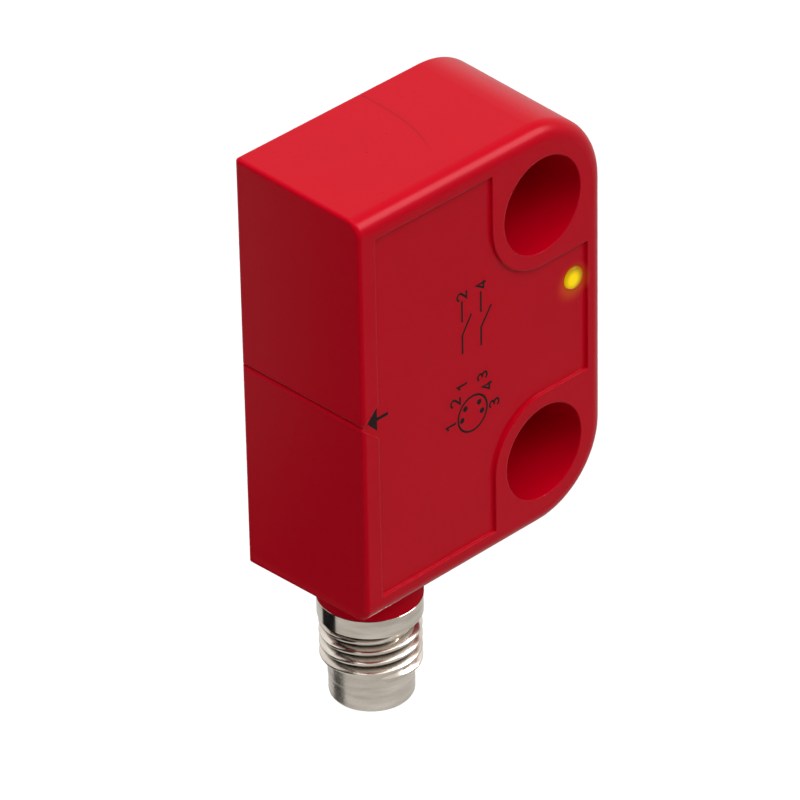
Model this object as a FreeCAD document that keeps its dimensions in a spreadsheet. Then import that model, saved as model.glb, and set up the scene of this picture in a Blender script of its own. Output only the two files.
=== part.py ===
import FreeCAD, Part
import math
import os
import re

import Sketcher

# Magnetic safety switch with two reed contacts and an M8 connector.
# Frame: the origin is midway between the two mounting holes, on the mounting face.
# +X runs away from the sensing end, +Y points into the machine guard, +Z is up.

os.makedirs("parts", exist_ok=True)
doc = FreeCAD.newDocument("magnetic_switch")
Vector = FreeCAD.Vector

SIZES = [
    # Moulded housing
    ("body_width", 26.0),
    ("body_height", 36.0),
    ("body_depth", 13.0),
    ("hole_edge", 7.0),
    ("hole_spacing", 22.0),
    ("corner_radius", 7.0),
    ("draft_angle", 1.5),
    ("front_fillet", 1.3),
    ("end_edge_round", 0.3),
    ("back_edge_round", 0.2),
    ("end_trim", 3.0),
    ("screw_hole_radius", 2.25),
    ("counterbore_radius", 4.05),
    ("counterbore_depth", 6.0),
    # Marking field, target groove and connector neck on the housing
    ("field_depth", 0.25),
    ("field_end_margin", 1.6),
    ("field_top_margin", 2.2),
    ("field_right_margin", 2.2),
    ("screw_land_radius", 5.27),
    ("groove_width", 0.4),
    ("groove_depth", 0.2),
    ("arrow_recess_width", 3.3),
    ("neck_radius", 4.15),
    ("neck_length", 2.8),
    # Cavity, rear cover and resin
    ("side_wall", 1.5),
    ("front_wall", 1.5),
    ("bore_wall", 1.55),
    ("cover_thickness", 1.2),
    ("cover_setback", 0.1),
    ("cover_ledge", 0.7),
    ("cover_gap", 0.05),
    ("resin_gap", 1.2),
    # Circuit board and its posts
    ("board_thickness", 1.2),
    ("board_gap", 0.3),
    ("board_foot", 0.5),
    ("post_radius", 0.8),
    ("post_inset", 1.2),
    # Reed contacts and the ribs that cradle them
    ("reed_spacing", 3.0),
    ("reed_end_gap", 0.3),
    ("reed_standoff", 0.15),
    ("cradle_height", 3.5),
    ("cradle_width", 1.0),
    ("cradle_gap", 0.1),
    ("glass_radius", 1.1),
    ("glass_wall", 0.25),
    ("glass_length", 12.0),
    ("seal_length", 1.2),
    ("lead_radius", 0.25),
    ("lead_reach", 1.4),
    ("lead_bend_radius", 0.6),
    ("lead_tail", 0.5),
    ("lead_hole_gap", 0.1),
    ("blade_width", 1.0),
    ("blade_thickness", 0.2),
    ("contact_gap", 0.24),
    ("contact_overlap", 1.0),
    ("blade_root_gap", 0.05),
    # Indicator
    ("lamp_x", 3.5),
    ("lamp_z", 2.95),
    ("lamp_radius", 0.95),
    ("lamp_bore_gap", 0.03),
    ("lamp_proud", 0.2),
    ("lamp_flange_radius", 1.5),
    ("lamp_flange_thickness", 0.6),
    ("led_length", 1.6),
    ("led_width", 0.8),
    ("led_thickness", 0.7),
    ("led_light_gap", 0.1),
    # Parts on the board
    ("chip_x", -2.4),
    ("led_resistor_z", 4.0),
    ("led_resistor_length", 1.6),
    ("led_resistor_width", 0.8),
    ("led_resistor_thickness", 0.45),
    ("contact_resistor_z", 0.9),
    ("contact_resistor_length", 3.2),
    ("contact_resistor_width", 1.6),
    ("contact_resistor_thickness", 0.6),
    ("diode_z", -3.0),
    ("diode_length", 3.5),
    ("diode_width", 2.6),
    ("diode_thickness", 1.0),
    # M8 connector
    ("connector_end_inset", 6.5),
    ("connector_depth", 6.5),
    ("shank_radius", 3.4),
    ("shank_gap", 0.02),
    ("collar_radius", 4.12),
    ("collar_length", 1.7),
    ("relief_radius", 3.55),
    ("relief_length", 0.4),
    ("thread_radius", 4.0),
    ("thread_root_radius", 3.42),
    ("thread_pitch", 1.0),
    ("thread_crest", 0.16),
    ("nose_radius", 3.38),
    ("nose_length", 3.0),
    ("nose_edge", 0.2),
    ("catch_depth", 0.06),
    ("catch_width", 0.5),
    ("catch_offset", 1.7),
    ("sleeve_bore_radius", 2.75),
    ("carrier_gap", 0.02),
    ("carrier_recess", 4.6),
    ("carrier_flange_radius", 3.9),
    ("carrier_flange_thickness", 0.8),
    ("carrier_seat_depth", 0.2),
    ("pin_radius", 0.5),
    ("pin_recess", 0.7),
    ("pin_tail", 3.2),
    ("wide_pin_offset", 1.75),
    ("narrow_pin_offset", 1.15),
    ("pin_row_shift", 0.2),
]
THREAD_TURNS = 4

sheet = doc.addObject("Spreadsheet::Sheet", "sizes")
for row, (alias, value) in enumerate(SIZES, start=1):
    sheet.set("A%d" % row, alias)
    sheet.set("B%d" % row, str(value))
    sheet.setAlias("B%d" % row, alias)
doc.recompute()

ALIASES = {alias for alias, _ in SIZES}
PARTS = []


def size(alias):
    """Value of one driving dimension, read back from the sheet."""
    return float(sheet.get(alias))


def cells(expression):
    """Turn the aliases in an expression into references to the sheet."""
    return re.sub(r"[a-z_]+", lambda m: "sizes." + m.group() if m.group() in ALIASES else m.group(), expression)


def bind(item, **properties):
    """Tie each named property of a document object to an expression on the sheet."""
    for name, expression in properties.items():
        item.setExpression(name, cells(expression))


def move_to(item, x="0", y="0", z="0"):
    """Tie the position of an object or feature to expressions on the sheet."""
    for axis, expression in (("x", x), ("y", y), ("z", z)):
        item.setExpression("Placement.Base." + axis, cells(expression))


def new_body(name):
    body = doc.addObject("PartDesign::Body", name)
    body.Label = name
    PARTS.append(body)
    return body


def brick(body, kind, name, low, lengths):
    """Box feature of a body: kind is Additive or Subtractive, low is its lowest corner."""
    feature = body.newObject("PartDesign::%sBox" % kind, name)
    bind(feature, Length=lengths[0], Width=lengths[1], Height=lengths[2])
    move_to(feature, *low)
    return feature


TURNS = {
    "+Z": FreeCAD.Rotation(Vector(1, 0, 0), 0),
    "+Y": FreeCAD.Rotation(Vector(1, 0, 0), -90),
    "-Y": FreeCAD.Rotation(Vector(1, 0, 0), 90),
}


def rod(body, kind, name, start, radius, length, toward="+Z"):
    """Cylinder feature of a body that runs from start in the given direction."""
    feature = body.newObject("PartDesign::%sCylinder" % kind, name)
    feature.Placement = FreeCAD.Placement(Vector(), TURNS[toward])
    bind(feature, Radius=radius, Height=length)
    move_to(feature, *start)
    return feature


def plane_of(body, role):
    return next(item for item in body.Origin.OriginFeatures if item.Role == role)


def new_sketch(body, name, role, offset="0"):
    """Sketch on one of the body's origin planes, moved along the plane's normal."""
    sketch = body.newObject("Sketcher::SketchObject", name)
    sketch.AttachmentSupport = [(plane_of(body, role), "")]
    sketch.MapMode = "FlatFace"
    sketch.setExpression("AttachmentOffset.Base.z", cells(offset))
    return sketch


def pin_point(sketch, geometry, point, x, y):
    """Fix one point of a sketch at expressions on the sheet."""
    for kind, expression in (("DistanceX", x), ("DistanceY", y)):
        index = sketch.addConstraint(Sketcher.Constraint(kind, -1, 1, geometry, point, 1.0))
        sketch.setExpression("Constraints[%d]" % index, cells(expression))


def outline(sketch, path):
    """Closed outline: (x, y) corners joined by lines, and quarter arcs as (x, y, radius, from, to)."""
    count = len(path)
    for index in range(count):
        start = Vector(index, index * index, 0)
        end = Vector(index + 1, (index + 1) ** 2, 0)
        sketch.addGeometry(Part.LineSegment(start, end))
    for index, node in enumerate(path):
        before = (index - 1) % count
        if len(node) == 2:
            sketch.addConstraint(Sketcher.Constraint("Coincident", before, 2, index, 1))
            pin_point(sketch, index, 1, *node)
            continue
        x, y, radius, start, end = node
        circle = Part.Circle(Vector(0, 0, 0), Vector(0, 0, 1), 1)
        low, high = math.radians(min(start, end)), math.radians(max(start, end))
        arc = sketch.addGeometry(Part.ArcOfCircle(circle, low, high))
        entry, leave = (1, 2) if end > start else (2, 1)
        sketch.addConstraint(Sketcher.Constraint("Coincident", before, 2, arc, entry))
        sketch.addConstraint(Sketcher.Constraint("Coincident", arc, leave, index, 1))
        pin_point(sketch, arc, 3, x, y)
        limit = sketch.addConstraint(Sketcher.Constraint("Radius", arc, 1.0))
        sketch.setExpression("Constraints[%d]" % limit, cells(radius))
        for point, angle in ((entry, start), (leave, end)):
            level = "Horizontal" if angle % 180 == 0 else "Vertical"
            sketch.addConstraint(Sketcher.Constraint(level, arc, point, arc, 3))


def pocket(body, name, sketch, depth):
    feature = body.newObject("PartDesign::Pocket", name)
    feature.Profile = sketch
    bind(feature, Length=depth)
    return feature


def round_edges(body, name, radius, wanted):
    """Fillet every edge of the body's tip whose bounding box passes the test."""
    doc.recompute()
    base = body.Tip
    edges = base.Shape.Edges
    names = ["Edge%d" % (index + 1) for index, edge in enumerate(edges) if wanted(edge.BoundBox)]
    feature = body.newObject("PartDesign::Fillet", name)
    feature.Base = (base, names)
    bind(feature, Radius=radius)
    return feature


def near(value, target):
    return abs(value - target) < 0.01


# Places that several pieces share, as expressions on the sheet
RIGHT = "hole_edge"
END = "(hole_edge - body_width)"
TOP = "(body_height / 2)"
FRONT = "(-body_depth)"
CAVITY_LEFT = "(hole_edge - body_width + side_wall)"
CAVITY_RIGHT = "(-counterbore_radius - bore_wall)"
CAVITY_TOP = "(body_height / 2 - side_wall)"
CAVITY_FRONT = "(front_wall - body_depth)"
TONGUE_RIGHT = "(hole_edge - side_wall)"
TONGUE_TOP = "(hole_spacing / 2 - counterbore_radius - bore_wall)"
COVER_BACK = "(-cover_setback)"
COVER_FRONT = "(-cover_setback - cover_thickness)"
FIELD_LEFT = "(hole_edge - body_width + field_end_margin)"
FIELD_RIGHT = "(hole_edge - field_right_margin)"
FIELD_TOP = "(body_height / 2 - field_top_margin)"
LAND_EDGE = "(hole_spacing / 2 - screw_land_radius)"
AXIS_X = "(hole_edge - body_width + connector_end_inset)"
AXIS_Y = "(-connector_depth)"
SHOULDER = "(-body_height / 2 - neck_length)"
THREAD_TOP = "(-body_height / 2 - neck_length - collar_length - relief_length)"
THREAD_FOOT = "(%s - %d * thread_pitch)" % (THREAD_TOP, THREAD_TURNS)
SLEEVE_TIP = "(%s - nose_length)" % THREAD_FOOT
CARRIER_SEAT = "(side_wall - carrier_seat_depth - body_height / 2)"
CARRIER_TOP = "(%s + carrier_flange_thickness)" % CARRIER_SEAT
BOARD_FACE = "(-connector_depth - pin_row_shift - board_thickness / 2)"
BOARD_BACK = "(%s + board_thickness)" % BOARD_FACE
BOARD_FOOT = "(%s + board_foot)" % CARRIER_TOP
RESIN_FRONT = "(%s + resin_gap)" % BOARD_BACK
REED_X = "(%s + reed_end_gap + glass_radius)" % CAVITY_LEFT
REED_Y = "(%s - reed_standoff - glass_radius)" % BOARD_FACE
SEAL_FACE = "(glass_length / 2 - seal_length)"
LEAD_LEG = "(glass_length / 2 + lead_reach)"


def minus(expression):
    return "-(%s)" % expression


def t_plate(body, kind, name, front, back, grow):
    """Two boxes in the T outline of the cavity, grown outward by the given amount."""
    depth = "%s - %s" % (back, front)
    top = "(%s + %s)" % (CAVITY_TOP, grow)
    left = "(%s - %s)" % (CAVITY_LEFT, grow)
    right = "(%s + %s)" % (CAVITY_RIGHT, grow)
    tongue_top = "(%s + %s)" % (TONGUE_TOP, grow)
    tongue_right = "(%s + %s)" % (TONGUE_RIGHT, grow)
    brick(body, kind, name + "_column", (left, front, minus(top)),
          ("%s - %s" % (right, left), depth, "2 * " + top))
    brick(body, kind, name + "_tongue", (right, front, minus(tongue_top)),
          ("%s - %s" % (tongue_right, right), depth, "2 * " + tongue_top))


def housing_block(body):
    """Drafted block with round right corners and a soft front edge, cut off flat at the sensing end."""
    sketch = new_sketch(body, "back_outline", "XZ_Plane")
    left = "%s - end_trim" % END
    outline(sketch, [(left, minus(TOP)), (RIGHT, minus(TOP)), (RIGHT, TOP), (left, TOP)])
    block = body.newObject("PartDesign::Pad", "block")
    block.Profile = sketch
    bind(block, Length="body_depth", TaperAngle="-draft_angle")
    right, depth, end = size("hole_edge"), size("body_depth"), size("hole_edge") - size("body_width")
    round_edges(body, "right_corners", "corner_radius",
                lambda box: near(box.XMax, right) and box.YLength > depth - 0.1)
    round_edges(body, "front_edges", "front_fillet", lambda box: near(box.YMax, -depth))
    round_edges(body, "back_edges", "back_edge_round", lambda box: near(box.YMin, 0))
    brick(body, "Subtractive", "flat_end", (left, FRONT, minus(TOP)),
          ("end_trim", "body_depth", "2 * " + TOP))
    round_edges(body, "end_edges", "end_edge_round", lambda box: near(box.XMax, end))


def housing_bores(body):
    """Counterbored screw holes, the connector's bore with its seat, and the light guide's bore."""
    for side, level in (("upper", "hole_spacing / 2"), ("lower", "-hole_spacing / 2")):
        start = ("0", FRONT, level)
        rod(body, "Subtractive", side + "_screw_hole", start, "screw_hole_radius", "body_depth", "+Y")
        rod(body, "Subtractive", side + "_counterbore", start, "counterbore_radius", "counterbore_depth", "+Y")
    rod(body, "Subtractive", "neck_bore", (AXIS_X, AXIS_Y, SHOULDER), "shank_radius + shank_gap",
        "neck_length + side_wall")
    rod(body, "Subtractive", "carrier_seat", (AXIS_X, AXIS_Y, CARRIER_SEAT),
        "carrier_flange_radius + carrier_gap", "carrier_flange_thickness")
    rod(body, "Subtractive", "lamp_bore", ("lamp_x", FRONT, "lamp_z"), "lamp_radius + lamp_bore_gap",
        "front_wall", "+Y")


def housing_face(body):
    """Sunk marking field that steps round the screw lands, target groove and arrow recess."""
    field = new_sketch(body, "field_outline", "XZ_Plane", "body_depth")
    hole = "hole_spacing / 2"
    outline(field, [
        (FIELD_LEFT, minus(FIELD_TOP)), ("-screw_land_radius", minus(FIELD_TOP)),
        ("0", minus(hole), "screw_land_radius", 180, 90),
        (FIELD_RIGHT, minus(LAND_EDGE)), (FIELD_RIGHT, LAND_EDGE),
        ("0", hole, "screw_land_radius", 270, 180),
        ("-screw_land_radius", FIELD_TOP), (FIELD_LEFT, FIELD_TOP),
    ])
    pocket(body, "field", field, "field_depth")
    across = new_sketch(body, "end_groove_outline", "XZ_Plane", "body_depth")
    outline(across, [("%s - groove_depth" % END, "-groove_width"), ("%s + groove_depth" % END, "0"),
                     ("%s - groove_depth" % END, "groove_width")])
    pocket(body, "end_groove", across, "body_depth")
    recess = new_sketch(body, "arrow_recess_outline", "XZ_Plane", "body_depth")
    inner = "%s + groove_depth" % FIELD_LEFT
    outline(recess, [("%s - groove_depth" % END, "0"), (inner, "-arrow_recess_width / 2"),
                     (inner, "arrow_recess_width / 2")])
    pocket(body, "arrow_recess", recess, "field_depth")


def housing_inside(body):
    """Posts that the board rests on, and ribs with a trough for each reed contact."""
    reach = "%s - %s" % (BOARD_FACE, CAVITY_FRONT)
    level = "%s - 2 * post_inset" % CAVITY_TOP
    spots = [("%s + post_inset" % CAVITY_LEFT, level), ("%s - post_inset" % CAVITY_RIGHT, level),
             ("%s + post_inset" % CAVITY_RIGHT, "%s - post_inset" % TONGUE_TOP),
             ("%s - post_inset" % TONGUE_RIGHT, "post_inset - %s" % TONGUE_TOP)]
    for index, (x, z) in enumerate(spots, start=1):
        rod(body, "Additive", "board_post_%d" % index, (x, CAVITY_FRONT, z), "post_radius", reach, "+Y")
    for side, level in (("upper", "cradle_height"), ("lower", "-cradle_height")):
        low = (CAVITY_LEFT, CAVITY_FRONT, "%s - cradle_width / 2" % level)
        brick(body, "Additive", side + "_cradle", low,
              ("reed_end_gap + 2 * glass_radius + reed_spacing + cradle_width",
               "%s - %s" % (REED_Y, CAVITY_FRONT), "cradle_width"))
    for reed in (0, 1):
        start = ("%s + %d * reed_spacing" % (REED_X, reed), REED_Y, "-glass_length / 2 - cradle_gap")
        rod(body, "Subtractive", "reed_%d_trough" % (reed + 1), start, "glass_radius + cradle_gap",
            "glass_length + 2 * cradle_gap")


def make_housing():
    body = new_body("housing")
    housing_block(body)
    rod(body, "Additive", "neck", (AXIS_X, AXIS_Y, SHOULDER), "neck_radius", "neck_length + side_wall")
    t_plate(body, "Subtractive", "cavity", CAVITY_FRONT, "0", "0")
    t_plate(body, "Subtractive", "cover_step", COVER_FRONT, "0", "cover_ledge")
    housing_bores(body)
    housing_face(body)
    housing_inside(body)


def make_cover_and_resin():
    t_plate(new_body("rear_cover"), "Additive", "cover", COVER_FRONT, COVER_BACK, "(cover_ledge - cover_gap)")
    resin = new_body("potting_resin")
    t_plate(resin, "Additive", "fill", RESIN_FRONT, COVER_FRONT, "0")
    rod(resin, "Subtractive", "carrier_relief", (AXIS_X, AXIS_Y, CARRIER_SEAT),
        "carrier_flange_radius", "carrier_flange_thickness")


def make_board():
    body = new_body("circuit_board")
    left = "(%s + board_gap)" % CAVITY_LEFT
    right = "(%s - board_gap)" % CAVITY_RIGHT
    tongue_top = "(%s - board_gap)" % TONGUE_TOP
    brick(body, "Additive", "column", (left, BOARD_FACE, BOARD_FOOT),
          ("%s - %s" % (right, left), "board_thickness", "%s - board_gap - %s" % (CAVITY_TOP, BOARD_FOOT)))
    brick(body, "Additive", "tongue", (right, BOARD_FACE, minus(tongue_top)),
          ("%s - board_gap - %s" % (TONGUE_RIGHT, right), "board_thickness", "2 * " + tongue_top))
    for reed in (0, 1):
        for side, sign in (("upper", ""), ("lower", "-")):
            spot = ("%s + %d * reed_spacing" % (REED_X, reed), BOARD_FACE, sign + LEAD_LEG)
            rod(body, "Subtractive", "reed_%d_%s_hole" % (reed + 1, side), spot,
                "lead_radius + lead_hole_gap", "board_thickness", "+Y")


def place_on_reed(body, reed, turn_axis=None):
    """Put a body made about the reed's axis where that reed lies, turned half round if asked."""
    if turn_axis is not None:
        body.Placement = FreeCAD.Placement(Vector(), FreeCAD.Rotation(turn_axis, 180))
    move_to(body, "%s + %d * reed_spacing" % (REED_X, reed), REED_Y)


def make_glass(reed):
    body = new_body("reed_%d_glass" % (reed + 1))
    rod(body, "Additive", "tube", ("0", "0", "-glass_length / 2"), "glass_radius", "glass_length")
    half = size("glass_length") / 2
    round_edges(body, "drawn_ends", "glass_wall", lambda box: near(abs(box.ZMin), half) and box.ZLength < 0.1)
    rod(body, "Subtractive", "gas_space", ("0", "0", minus(SEAL_FACE)), "glass_radius - glass_wall",
        "2 * " + SEAL_FACE)
    rod(body, "Subtractive", "wire_bore", ("0", "0", "-glass_length / 2"), "lead_radius", "glass_length")
    place_on_reed(body, reed)


def make_lead(reed, side):
    """Wire from the seal out of the glass, bent toward the board and through its hole."""
    body = new_body("reed_%d_%s_lead" % (reed + 1, side))
    corner = "(%s - lead_bend_radius)" % LEAD_LEG
    rod(body, "Additive", "straight", ("0", "0", SEAL_FACE), "lead_radius", "%s - %s" % (corner, SEAL_FACE))
    bend = body.newObject("PartDesign::AdditiveTorus", "bend")
    bend.Placement = FreeCAD.Placement(
        Vector(), FreeCAD.Rotation(Vector(0, -1, 0), Vector(0, 0, 1), Vector(-1, 0, 0), "XYZ"))
    bind(bend, Radius1="lead_bend_radius", Radius2="lead_radius", Angle3="90")
    move_to(bend, y="lead_bend_radius", z=corner)
    rod(body, "Additive", "leg", ("0", "lead_bend_radius", LEAD_LEG), "lead_radius",
        "reed_standoff + glass_radius + board_thickness + lead_tail - lead_bend_radius", "+Y")
    place_on_reed(body, reed, Vector(0, 1, 0) if side == "lower" else None)


def make_blade(reed, side):
    """Flat contact blade that reaches past the middle of the glass, beside its partner."""
    body = new_body("reed_%d_%s_blade" % (reed + 1, side))
    brick(body, "Additive", "blade", ("-blade_width / 2", "contact_gap / 2", "blade_root_gap - " + SEAL_FACE),
          ("blade_width", "blade_thickness", "%s - blade_root_gap + contact_overlap / 2" % SEAL_FACE))
    place_on_reed(body, reed, Vector(1, 0, 0) if side == "upper" else None)


def make_lamp():
    led = new_body("indicator_led")
    brick(led, "Additive", "chip", ("lamp_x - led_length / 2", "%s - led_thickness" % BOARD_FACE,
                                    "lamp_z - led_width / 2"), ("led_length", "led_thickness", "led_width"))
    guide = new_body("light_guide")
    inner = "(%s - led_thickness - led_light_gap)" % BOARD_FACE
    outer = "(%s + field_depth - lamp_proud)" % FRONT
    rod(guide, "Additive", "rod", ("lamp_x", inner, "lamp_z"), "lamp_radius", "%s - %s" % (inner, outer), "-Y")
    tip = size("field_depth") - size("body_depth") - size("lamp_proud")
    round_edges(guide, "dome", "lamp_proud", lambda box: near(box.YMax, tip))
    rod(guide, "Additive", "flange", ("lamp_x", CAVITY_FRONT, "lamp_z"), "lamp_flange_radius",
        "lamp_flange_thickness", "+Y")


def make_chip(name):
    """Component that stands on the board's front face, with its sizes named after it."""
    body = new_body(name)
    length, width, thickness = (name + end for end in ("_length", "_width", "_thickness"))
    brick(body, "Additive", "case", ("chip_x - %s / 2" % width, "%s - %s" % (BOARD_FACE, thickness),
                                     "%s_z - %s / 2" % (name, length)), (width, thickness, length))


def make_sleeve():
    """Turned sleeve: shank in the housing neck, collar, relief, thread ridges and nose."""
    body = new_body("connector_sleeve")
    sketch = new_sketch(body, "profile", "XZ_Plane")
    catch = "(%s + catch_offset)" % SLEEVE_TIP
    path = [
        ("sleeve_bore_radius", SLEEVE_TIP), ("nose_radius - nose_edge", SLEEVE_TIP),
        ("nose_radius", "%s + nose_edge" % SLEEVE_TIP),
        ("nose_radius", "%s - catch_width / 2" % catch),
        ("nose_radius - catch_depth", catch),
        ("nose_radius", "%s + catch_width / 2" % catch),
        ("nose_radius", THREAD_FOOT),
    ]
    for turn in range(THREAD_TURNS):
        crest = "%s + (%d + 0.5) * thread_pitch" % (THREAD_FOOT, turn)
        path += [("thread_root_radius", "%s + %d * thread_pitch" % (THREAD_FOOT, turn)),
                 ("thread_radius", crest + " - thread_crest / 2"),
                 ("thread_radius", crest + " + thread_crest / 2")]
    path += [
        ("thread_root_radius", THREAD_TOP), ("relief_radius", THREAD_TOP),
        ("relief_radius", "%s + relief_length" % THREAD_TOP),
        ("collar_radius", "%s + relief_length" % THREAD_TOP), ("collar_radius", SHOULDER),
        ("shank_radius", SHOULDER), ("shank_radius", CARRIER_SEAT),
        ("sleeve_bore_radius", CARRIER_SEAT),
    ]
    outline(sketch, path)
    turned = body.newObject("PartDesign::Revolution", "turned")
    turned.Profile = sketch
    turned.ReferenceAxis = (sketch, ["V_Axis"])
    turned.Angle = 360
    move_to(body, AXIS_X, AXIS_Y)


def pin_spots():
    """Wide pair behind the board and narrow pair in front of it, counted round the face."""
    rear = "%s + pin_radius" % BOARD_BACK
    front = "%s - pin_radius" % BOARD_FACE
    return [("%s - narrow_pin_offset" % AXIS_X, front), ("%s - wide_pin_offset" % AXIS_X, rear),
            ("%s + wide_pin_offset" % AXIS_X, rear), ("%s + narrow_pin_offset" % AXIS_X, front)]


def make_contacts():
    carrier = new_body("contact_carrier")
    face = "(%s + carrier_recess)" % SLEEVE_TIP
    rod(carrier, "Additive", "stem", (AXIS_X, AXIS_Y, face), "sleeve_bore_radius - carrier_gap",
        "%s - %s" % (CARRIER_SEAT, face))
    rod(carrier, "Additive", "flange", (AXIS_X, AXIS_Y, CARRIER_SEAT), "carrier_flange_radius",
        "carrier_flange_thickness")
    tip = "(%s + pin_recess)" % SLEEVE_TIP
    below = (size("body_height") / 2 + size("neck_length") + size("collar_length") + size("relief_length")
             + THREAD_TURNS * size("thread_pitch") + size("nose_length"))
    level = size("pin_recess") - below
    for index, (x, y) in enumerate(pin_spots(), start=1):
        rod(carrier, "Subtractive", "pin_%d_bore" % index, (x, y, face), "pin_radius",
            "%s - %s" % (CARRIER_TOP, face))
        pin = new_body("contact_pin_%d" % index)
        rod(pin, "Additive", "shaft", (x, y, tip), "pin_radius", "%s + pin_tail - %s" % (BOARD_FOOT, tip))
        round_edges(pin, "tip", "pin_radius / 2", lambda box: near(box.ZMax, level))


def check_document():
    """Stop if any feature failed or any sub-part isn't one sound solid."""
    doc.recompute()
    for item in doc.Objects:
        if "Invalid" in item.State or "Error" in item.State:
            raise RuntimeError("%s is %s" % (item.Name, item.State))
    for body in PARTS:
        shape = body.Shape
        if shape.isNull() or not shape.isValid() or len(shape.Solids) != 1:
            raise RuntimeError("%s has no sound solid" % body.Label)


make_housing()
make_cover_and_resin()
make_board()
for reed in (0, 1):
    make_glass(reed)
    for side in ("upper", "lower"):
        make_lead(reed, side)
        make_blade(reed, side)
make_lamp()
for name in ("led_resistor", "contact_resistor", "diode"):
    make_chip(name)
make_sleeve()
make_contacts()

check_document()
for body in PARTS:
    body.Shape.exportStep("parts/%s.step" % body.Label)
    print(body.Label, round(body.Shape.Volume, 3), "mm3")
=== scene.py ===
import math

import bmesh
import bpy
from mathutils import Matrix, Vector


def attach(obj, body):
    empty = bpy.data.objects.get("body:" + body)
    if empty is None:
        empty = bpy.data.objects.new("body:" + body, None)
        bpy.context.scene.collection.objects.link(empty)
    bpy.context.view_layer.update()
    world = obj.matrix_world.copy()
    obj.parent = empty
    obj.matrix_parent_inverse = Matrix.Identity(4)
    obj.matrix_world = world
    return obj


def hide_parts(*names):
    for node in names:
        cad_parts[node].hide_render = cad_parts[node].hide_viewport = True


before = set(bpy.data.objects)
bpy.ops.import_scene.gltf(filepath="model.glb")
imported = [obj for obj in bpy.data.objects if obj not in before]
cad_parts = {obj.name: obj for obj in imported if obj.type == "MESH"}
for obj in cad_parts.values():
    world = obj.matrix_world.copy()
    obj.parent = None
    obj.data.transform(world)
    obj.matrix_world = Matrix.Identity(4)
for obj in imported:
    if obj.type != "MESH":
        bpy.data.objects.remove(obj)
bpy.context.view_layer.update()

# Housing and rear cover. The real ones are injection moulded from glass-filled red polyester,
# the cover is pressed into the back once the inside is cast full. Both are the CAD solids.
# Sizes here and below are in millimetres, and the scene is in metres.

RED = "#C3001B"
RED_DEEP = "#BB0019"
WELD_RED = "#7A0010"
PAINTED_HALO_GLOW = (0.12, 0.055, 0.0, 1.0)
MOULD_GRAIN = 0.22
GRAIN_HEIGHT = 0.02
FLOW_CLOUD = 7.0
EDGE_BREAK = 0.16
TOP_LEVEL = 18.0
FOOT_LEVEL = -18.0
FIELD_LEVEL = -12.75
MATT_BAND = 0.3
SHARP_BAND = 0.2
FOOT_FADE = 1.0
WELD_X = -6.2
WELD_SWERVE = 1.9
WELD_REACH = 9.5
WELD_CORE = 0.04
WELD_EDGE = 0.14
HALO_X = 3.45
HALO_Z = 2.55
HALO_CORE = 0.7
HALO_REACH = 1.9


def linear(code):
    """Linear colour with alpha for an sRGB hex value."""
    parts = [int(code[i:i + 2], 16) / 255 for i in (1, 3, 5)]
    return tuple(c / 12.92 if c <= 0.04045 else ((c + 0.055) / 1.055) ** 2.4 for c in parts) + (1.0,)


def add_node(tree, kind, inputs, **settings):
    """Add one node, set its properties, and fill its sockets with values or other nodes' outputs."""
    node = tree.nodes.new(kind)
    for name, value in settings.items():
        setattr(node, name, value)
    for name, value in inputs.items():
        if isinstance(value, bpy.types.NodeSocket):
            tree.links.new(value, node.inputs[name])
        else:
            node.inputs[name].default_value = value
    return node


def new_finish(name):
    """Empty material, its node tree, and the object's own coordinates in metres."""
    material = bpy.data.materials.new(name)
    material.use_nodes = True
    material.node_tree.nodes.clear()
    where = add_node(material.node_tree, "ShaderNodeTexCoord", {}).outputs["Object"]
    return material, material.node_tree, where


def dress(node, material):
    """Give a CAD node its finish."""
    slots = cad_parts[node].data.materials
    slots.clear()
    slots.append(material)


# Moulded glass-filled polyester: an even saturated red with a soft sheen. Flow clouds of a few
# millimetres shift its depth slightly. The mould's eroded grain, really about 0.05 mm, is drawn
# at 0.22 mm. The foot and the neck are matt, because the mould isn't polished there.
red_polyester, tree, where = new_finish("moulded_red_polyester")
split = add_node(tree, "ShaderNodeSeparateXYZ", {"Vector": where})
cloud = add_node(tree, "ShaderNodeTexNoise", {
    "Vector": where, "Scale": 1000 / FLOW_CLOUD, "Detail": 3.0})
tint = add_node(tree, "ShaderNodeMix", {
    "Factor": cloud.outputs["Fac"], "A": linear(RED), "B": linear(RED_DEEP)}, data_type="RGBA")

# A weld line shows on top where two flows met. It swerves to the left towards the front.
depth = add_node(tree, "ShaderNodeMath", {
    0: split.outputs["Y"], 1: -WELD_REACH / 1000}, operation="DIVIDE")
curve = add_node(tree, "ShaderNodeMath", {0: depth.outputs["Value"], 1: 3.0}, operation="POWER")
swerve = add_node(tree, "ShaderNodeMath", {
    0: curve.outputs["Value"], 1: WELD_SWERVE / 1000, 2: -WELD_X / 1000}, operation="MULTIPLY_ADD")
aside = add_node(tree, "ShaderNodeMath", {
    0: split.outputs["X"], 1: swerve.outputs["Value"]}, operation="ADD")
gap = add_node(tree, "ShaderNodeMath", {0: aside.outputs["Value"]}, operation="ABSOLUTE")
weld = add_node(tree, "ShaderNodeMapRange", {
    "Value": gap.outputs["Value"], "From Min": WELD_CORE / 1000, "From Max": WELD_EDGE / 1000,
    "To Min": 0.35, "To Max": 0.0})
upper = add_node(tree, "ShaderNodeMath", {
    0: split.outputs["Z"], 1: (TOP_LEVEL - 0.5) / 1000}, operation="GREATER_THAN")
inward = add_node(tree, "ShaderNodeMapRange", {
    "Value": depth.outputs["Value"], "From Min": 0.8, "From Max": 1.02, "To Min": 1.0, "To Max": 0.0})
reached = add_node(tree, "ShaderNodeMath", {
    0: upper.outputs["Value"], 1: inward.outputs["Result"]}, operation="MULTIPLY")
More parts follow.
